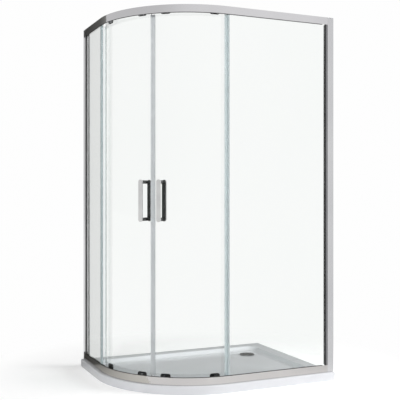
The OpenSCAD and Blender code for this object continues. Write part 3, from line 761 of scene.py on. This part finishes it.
# Roller carriers, their wheels and the screws through the glass
carrier = {
    "wide": 0.048, "thick": 0.0064, "corner": 0.006, "edge": 0.0007,
    "bossRadius": 0.005, "bossLong": 0.0095, "bossSunk": 0.0005, "bossEdge": 0.0004,
    "panel": 0.004, "panelDrop": 0.0010, "screwProud": 0.0003,
}
wheelChain = [
    (-0.003, 0.00255), (-0.003, 0.0088), (-0.0022, 0.010), (-0.0009, 0.010), (0, 0.0093),
    (0.0009, 0.010), (0.0022, 0.010), (0.003, 0.0088), (0.003, 0.0046), (0.001, 0.0046),
    (0.001, 0.00255),
]
screwChain = [
    (-0.0135, 0), (-0.0135, 0.0025), (0, 0.0025), (0, 0.0045), (0.0011, 0.0045), (0.0019, 0.0038),
    (0.0022, 0.0028), (0.0022, 0.0017), (0.0010, 0.0016), (0.0010, 0),
]
carrierMiddle = depths["carrier"] + depths["carrierThick"] / 2
plateMiddle = depths["carrier"] + depths["carrierThick"] - carrier["thick"] / 2
carrierHeight = middleOf("carrier_left_lead")[2]
carrierTall = (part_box("carrier_left_lead")[1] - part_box("carrier_left_lead")[0])[2]
wheelHeight = middleOf("wheel_left_lead")[2]


def makeCarrier():
    half = (carrier["thick"] / 2, carrier["wide"] / 2, carrierTall / 2)
    plate = addBox("carrier", [-h for h in half], half)
    roundSides(plate, carrier["corner"], segments=5)
    for sign in (-1, 1):
        selectWhere(plate, "FACE", lambda face: face.normal.x * sign > squarely)
        bpy.ops.mesh.inset(thickness=carrier["panel"], depth=-carrier["panelDrop"])
        leave()
    softEdges(plate, carrier["edge"])
    smoothByAngle(plate)
    boss = addRod("boss", carrier["bossRadius"], carrier["bossLong"])
    boss.location = (half[0] + carrier["bossLong"] / 2 - carrier["bossSunk"], 0,
                     wheelHeight - carrierHeight)
    settle(boss)
    softEdges(boss, carrier["bossEdge"])
    smoothByAngle(boss)
    return joinPieces("carrier", [plate, boss])


firstCarrier = makeCarrier()
firstWheel = lathe("wheel", wheelChain, alongX, closed=True)
firstScrew = lathe("screw", screwChain, alongX, steps=24)
for side in ("left", "right"):
    screws = []
    for end, along in rollerPlaces.items():
        plate = copyPiece(firstCarrier, "carrier")
        placeRadial(plate, side, along, plateMiddle, carrierHeight)
        finishPiece(plate, f"carrier_{side}_{end}", blackFinish, f"carrier_{side}_{end}")
        wheel = copyPiece(firstWheel, "wheel")
        placeRadial(wheel, side, along, depths["wheel"] + depths["wheelWide"] / 2, wheelHeight)
        finishPiece(wheel, f"wheel_{side}_{end}", wheelFinish, f"wheel_{side}_{end}")
        for half in (-1, 1):
            screw = copyPiece(firstScrew, "screw")
            placeRadial(screw, side, along + half * pane["screwPitch"] / 2,
                        doorOuter - carrier["screwProud"], screwHeight)
            screws.append(screw)
    finishPiece(joinPieces("screws", screws), "clampScrews_" + side, chromeFinish,
                "clamp_screws_" + side)
discard(firstCarrier, firstWheel, firstScrew)
print("rollers made")

# Bottom guides with their hooked feet, and the release buttons
guide = {
    "low": 0.068, "wide": 0.054, "thick": 0.0064, "corner": 0.009, "edge": 0.0008,
    "panel": 0.0045, "panelDrop": 0.0012, "footWide": 0.030, "footEdge": 0.0005,
    "pocketWide": 0.0165, "pocketTall": 0.0125, "pocketDrop": 0.0057, "pocketOpen": 0.01,
    "buttonWide": 0.016, "buttonTall": 0.012, "buttonThick": 0.0065, "buttonProud": 0.003,
    "buttonCorner": 0.004, "buttonEdge": 0.0008,
}
hookParts = [    # depth from, depth to, height from, height to
    (0.0266, 0.0336, 0.050, 0.0647),
    (0.0266, 0.0428, 0.0617, 0.0647),
    (0.0401, 0.0428, 0.0617, 0.071),
]
guideLow, guideHigh = guide["low"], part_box("guide_left_lead")[1][2]
guideHeight = (guideLow + guideHigh) / 2


def makeGuide():
    half = (guide["thick"] / 2, guide["wide"] / 2, (guideHigh - guideLow) / 2)
    block = addBox("guide", [-h for h in half], half)
    roundSides(block, guide["corner"], segments=4, profile=0.4,
               test=lambda edge: runsInwards(edge) and edge.verts[0].co.z > 0)
    selectWhere(block, "FACE", lambda face: face.normal.x > squarely)
    bpy.ops.mesh.inset(thickness=guide["panel"], depth=-guide["panelDrop"])
    leave()
    pocketSide, pocketTop = guide["pocketWide"] / 2, guide["pocketTall"] / 2
    pocket = addBox("pocket", (-half[0] - guide["pocketOpen"], -pocketSide, -pocketTop),
                    (-half[0] + guide["pocketDrop"], pocketSide, pocketTop))
    carve(block, pocket)
    softEdges(block, guide["edge"])
    smoothByAngle(block)
    parts = [block]
    for depthA, depthB, low, high in hookParts:
        hook = addBox("hook", (carrierMiddle - depthB, -guide["footWide"] / 2, low - guideHeight),
                      (carrierMiddle - depthA, guide["footWide"] / 2, high - guideHeight))
        softEdges(hook, guide["footEdge"])
        parts.append(hook)
    return joinPieces("guide", parts)


def makeButton():
    half = (guide["buttonThick"] / 2, guide["buttonWide"] / 2, guide["buttonTall"] / 2)
    piece = addBox("button", [-h for h in half], half)
    roundSides(piece, guide["buttonCorner"], segments=6)
    softEdges(piece, guide["buttonEdge"], segments=3)
    smoothByAngle(piece)
    return piece


firstGuide, firstButton = makeGuide(), makeButton()
buttonMiddle = (depths["carrier"] + depths["carrierThick"] + guide["buttonProud"]
                - guide["buttonThick"] / 2)
for side in ("left", "right"):
    for end, along in rollerPlaces.items():
        ending = f"{side}_{end}"
        block = copyPiece(firstGuide, "guide")
        placeRadial(block, side, along, plateMiddle, guideHeight)
        finishPiece(block, "guide_" + ending, blackFinish, "guide_" + ending)
        button = copyPiece(firstButton, "button")
        placeRadial(button, side, along, buttonMiddle, middleOf("release_button_" + ending)[2])
        finishPiece(button, "releaseButton_" + ending, chromeFinish, "release_button_" + ending)
discard(firstGuide, firstButton)
print("guides made")

# Domed cover of the waste
coverLow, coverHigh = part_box("waste_cover")
coverRadius = (coverHigh[0] - coverLow[0]) / 2
coverTop = coverHigh[2]
coverChain = [
    (0, coverLow[2]), (0.007, coverLow[2]), (0.007, coverTop - 0.003), (0.042, coverTop - 0.003),
    (0.0445, coverTop - 0.0026), (coverRadius, coverTop - 0.0018), (0.0443, coverTop - 0.0010),
    (0.040, coverTop - 0.0005), (0.020, coverTop - 0.0001), (0, coverTop),
]
cover = lathe("wasteCover", coverChain, alongZ, steps=96)
cover.location = (*middleOf("waste_cover")[:2], 0)
settle(cover)
finishPiece(cover, "wasteCover", chromeFinish, "waste_cover")
print("waste cover made")

# Camera, floor and light
view = {
    "place": (-1.778, -3.936, 1.039), "turn": 24.07, "focalPixels": 747.5,
    "horizonRow": 193.2, "frameSize": 400.0, "sensor": 36.0,
}
bpy.ops.object.camera_add(location=view["place"],
                          rotation=(math.pi / 2, 0, -math.radians(view["turn"])))
camera = bpy.context.object
camera.data.sensor_width = view["sensor"]
camera.data.lens = view["focalPixels"] / view["frameSize"] * view["sensor"]
camera.data.shift_y = (view["horizonRow"] - view["frameSize"] / 2) / view["frameSize"]
bpy.context.scene.camera = camera

studio = {
    "floorSize": 60.0, "floorTone": (0.90, 0.90, 0.90), "floorGlow": 0.33,
    "floorNear": 0.72, "floorFar": 1.35,    # where the floor starts to turn plain white, and is
    "white": 0.99, "fill": 0.14, "keyAzimuth": -60.0, "dimShine": 0.79, "dimFrom": -0.15,
    "cardWarmth": (1.0, 1.0, 0.94),
}
lamps = {
    "frontLamp": {"place": (-3.7, -2.6, 2.6), "target": (0, 0, 0.5), "size": 2.2, "power": 112},
    "rightLamp": {"place": (3.9, -2.25, 2.1), "target": (0, 0, 0.5), "size": 2.2, "power": 205},
    "overheadLamp": {"place": (0.2, -0.6, 4.6), "target": (0, 0, 0.3), "size": 2.4, "power": 26},
}


def towardsKey(nodes, links, vector):
    # how far a direction points at the bright side of the studio, from -1 to 1
    turn = math.radians(studio["keyAzimuth"])
    dot = nodes.new("ShaderNodeVectorMath")
    dot.operation = "DOT_PRODUCT"
    dot.inputs[1].default_value = (math.cos(turn), math.sin(turn), 0)
    links.new(vector, dot.inputs[0])
    return dot.outputs["Value"]


def mapValue(nodes, links, value, fromLow, fromHigh, toLow, toHigh):
    node = nodes.new("ShaderNodeMapRange")
    node.interpolation_type = "SMOOTHSTEP"
    labels = ("From Min", "From Max", "To Min", "To Max")
    for label, setting in zip(labels, (fromLow, fromHigh, toLow, toHigh)):
        node.inputs[label].default_value = setting
    links.new(value, node.inputs["Value"])
    return node.outputs["Result"]


def largest(nodes, links, *values):
    result = values[0]
    for value in values[1:]:
        node = nodes.new("ShaderNodeMath")
        node.operation = "MAXIMUM"
        links.new(result, node.inputs[0])
        links.new(value, node.inputs[1])
        result = node.outputs["Value"]
    return result


def makeFloor():
    # lit, with a glow for the eye that makes it white up to the shadow, and plain white far off
    calm()
    bpy.ops.mesh.primitive_plane_add(size=studio["floorSize"], location=(0, 0, trayLow[2]))
    floor = bpy.context.object
    floor.name = "studioFloor"
    material, nodes, links, shader, output = newMaterial("studioFloor", Roughness=0.9)
    shader.inputs["Base Color"].default_value = (*studio["floorTone"], 1)
    shader.inputs["Specular IOR Level"].default_value = 0.0
    place = nodes.new("ShaderNodeTexCoord")
    away = nodes.new("ShaderNodeVectorMath")
    away.operation = "LENGTH"
    links.new(place.outputs["Object"], away.inputs[0])
    path = nodes.new("ShaderNodeLightPath")
    seen = largest(nodes, links, path.outputs["Is Camera Ray"], path.outputs["Is Glossy Ray"],
                   path.outputs["Is Transmission Ray"])
    glow = nodes.new("ShaderNodeEmission")
    links.new(mapValue(nodes, links, seen, 0.0, 1.0, 0.0, studio["floorGlow"]),
              glow.inputs["Strength"])
    near = nodes.new("ShaderNodeAddShader")
    links.new(shader.outputs["BSDF"], near.inputs[0])
    links.new(glow.outputs["Emission"], near.inputs[1])
    white = nodes.new("ShaderNodeEmission")
    white.inputs["Strength"].default_value = studio["white"]
    reach = nodes.new("ShaderNodeMath")
    reach.operation = "MULTIPLY"
    distant = mapValue(nodes, links, away.outputs["Value"], studio["floorNear"], studio["floorFar"],
                       0.0, 1.0)
    links.new(distant, reach.inputs[0])
    links.new(seen, reach.inputs[1])
    both = nodes.new("ShaderNodeMixShader")
    links.new(reach.outputs["Value"], both.inputs["Fac"])
    links.new(near.outputs["Shader"], both.inputs[1])
    links.new(white.outputs["Emission"], both.inputs[2])
    links.new(both.outputs["Shader"], output.inputs["Surface"])
    floor.data.materials.append(material)


def makeWorld():
    # white where it is looked at, dim where it lights, and brighter on one side in reflections
    world = bpy.data.worlds.new("studioWorld")
    bpy.context.scene.world = world
    world.use_nodes = True
    nodes, links = world.node_tree.nodes, world.node_tree.links
    nodes.clear()
    output = nodes.new("ShaderNodeOutputWorld")
    place = nodes.new("ShaderNodeTexCoord")
    facing = towardsKey(nodes, links, place.outputs["Generated"])
    lights = {}
    for label, strength in (("fill", studio["fill"]), ("shine", 1.0), ("white", studio["white"])):
        lights[label] = nodes.new("ShaderNodeBackground")
        lights[label].inputs["Color"].default_value = (1, 1, 1, 1)
        lights[label].inputs["Strength"].default_value = strength
    links.new(mapValue(nodes, links, facing, studio["dimFrom"], 1.0, studio["dimShine"], 1.0),
              lights["shine"].inputs["Strength"])
    path = nodes.new("ShaderNodeLightPath")
    shone = nodes.new("ShaderNodeMixShader")
    links.new(path.outputs["Is Glossy Ray"], shone.inputs["Fac"])
    links.new(lights["fill"].outputs["Background"], shone.inputs[1])
    links.new(lights["shine"].outputs["Background"], shone.inputs[2])
    both = nodes.new("ShaderNodeMixShader")
    seen = largest(nodes, links, path.outputs["Is Camera Ray"], path.outputs["Is Transmission Ray"])
    links.new(seen, both.inputs["Fac"])
    links.new(shone.outputs["Shader"], both.inputs[1])
    links.new(lights["white"].outputs["Background"], both.inputs[2])
    links.new(both.outputs["Shader"], output.inputs["Surface"])


def addLamp(name, place, target, size, power):
    calm()
    bpy.ops.object.light_add(type="AREA", location=place)
    lamp = bpy.context.object
    lamp.name = name
    lamp.data.shape = "RECTANGLE"
    lamp.data.size = size
    lamp.data.size_y = size
    lamp.data.energy = power
    for part in ("camera", "glossy", "transmission"):
        setattr(lamp, "visible_" + part, False)
    aim = Vector(target) - Vector(place)
    lamp.rotation_euler = aim.to_track_quat("-Z", "Y").to_euler()


def addCard(name, low, high, along, lowTone, highTone, bend=1.0, lights=False):
    # a flat card that only reflections see, from its front, its tone changing along one axis
    calm()
    size = [high[i] - low[i] for i in range(3)]
    middle = [(low[i] + high[i]) / 2 for i in range(3)]
    quarter = math.pi / 2
    flat = size.index(0)    # the axis that the card has no thickness along
    turn = [(quarter, 0, -quarter), (quarter, 0, 0), (0, 0, 0)][flat]
    bpy.ops.mesh.primitive_plane_add(size=1, location=middle, rotation=turn)
    card = bpy.context.object
    card.name = name
    card.scale = (*[size[i] for i in range(3) if i != flat], 1)
    settle(card)
    for part in ("camera", "shadow", "diffuse", "transmission"):
        setattr(card, "visible_" + part, lights and part == "diffuse")
    material, nodes, links, shader, output = newMaterial(name)
    nodes.remove(shader)
    place = nodes.new("ShaderNodeTexCoord")
    parts = nodes.new("ShaderNodeSeparateXYZ")
    links.new(place.outputs["Object"], parts.inputs["Vector"])
    spread = nodes.new("ShaderNodeMapRange")
    axis = "XYZ".index(along)
    spread.inputs["From Min"].default_value = low[axis]
    spread.inputs["From Max"].default_value = high[axis]
    links.new(parts.outputs[along], spread.inputs["Value"])
    curve = nodes.new("ShaderNodeMath")
    curve.operation = "POWER"
    curve.inputs[1].default_value = bend
    links.new(spread.outputs["Result"], curve.inputs[0])
    emission = nodes.new("ShaderNodeEmission")
    emission.inputs["Color"].default_value = (*studio["cardWarmth"], 1)
    links.new(spreadValue(nodes, links, curve.outputs["Value"], lowTone, highTone),
              emission.inputs["Strength"])
    side = nodes.new("ShaderNodeNewGeometry")
    unseen = nodes.new("ShaderNodeBsdfTransparent")
    both = nodes.new("ShaderNodeMixShader")
    links.new(side.outputs["Backfacing"], both.inputs["Fac"])
    links.new(emission.outputs["Emission"], both.inputs[1])
    links.new(unseen.outputs["BSDF"], both.inputs[2])
    links.new(both.outputs["Shader"], output.inputs["Surface"])
    card.data.materials.append(material)


makeFloor()
makeWorld()
for name, settings in lamps.items():
    addLamp(name, **settings)

# Dark cards behind and beside the part, for its metal to reflect
cards = {
    "rightX": trayHigh[0] + 0.008, "backY": trayHigh[1] + 0.004, "top": 2.7, "outerX": -0.90,
    "endBesideRails": railLow[0] - 0.003, "endBesideProfile": railLow[0] - 0.020,
    "floorX": (-1.6, trayLow[0] - 0.001), "floorY": -0.35, "floorLift": 0.001, "frontY": -0.42,
    "backGap": 0.01, "sideTones": (0.26, 0.06), "floorTones": (0.90, 0.26), "floorBend": 1.5,
    "backTones": (0.10, 0.16),
}
for name, low, high, end in (
        ("sideLowCard", 0.0, sillTop, cards["endBesideRails"]),
        ("sideCard", sillTop, railLow[2], cards["endBesideProfile"]),
        ("sideTopCard", railLow[2], cards["top"], cards["endBesideRails"])):
    addCard(name, (cards["outerX"], cards["backY"], low), (end, cards["backY"], high), "X",
            *cards["sideTones"], lights=True)
addCard("sideFloorCard", (cards["floorX"][0], cards["floorY"], cards["floorLift"]),
        (cards["floorX"][1], cards["backY"], cards["floorLift"]), "Y",
        *cards["floorTones"], bend=cards["floorBend"])
for name, corner in (
        ("backCard", (cards["endBesideRails"] + cards["backGap"], cards["backY"], trayTop)),
        ("rightCard", (cards["rightX"], cards["frontY"], trayTop))):
    addCard(name, corner, (cards["rightX"], cards["backY"], railHigh[2]), "Z", *cards["backTones"])
print("studio made")

bpy.context.scene.view_settings.view_transform = "Standard"
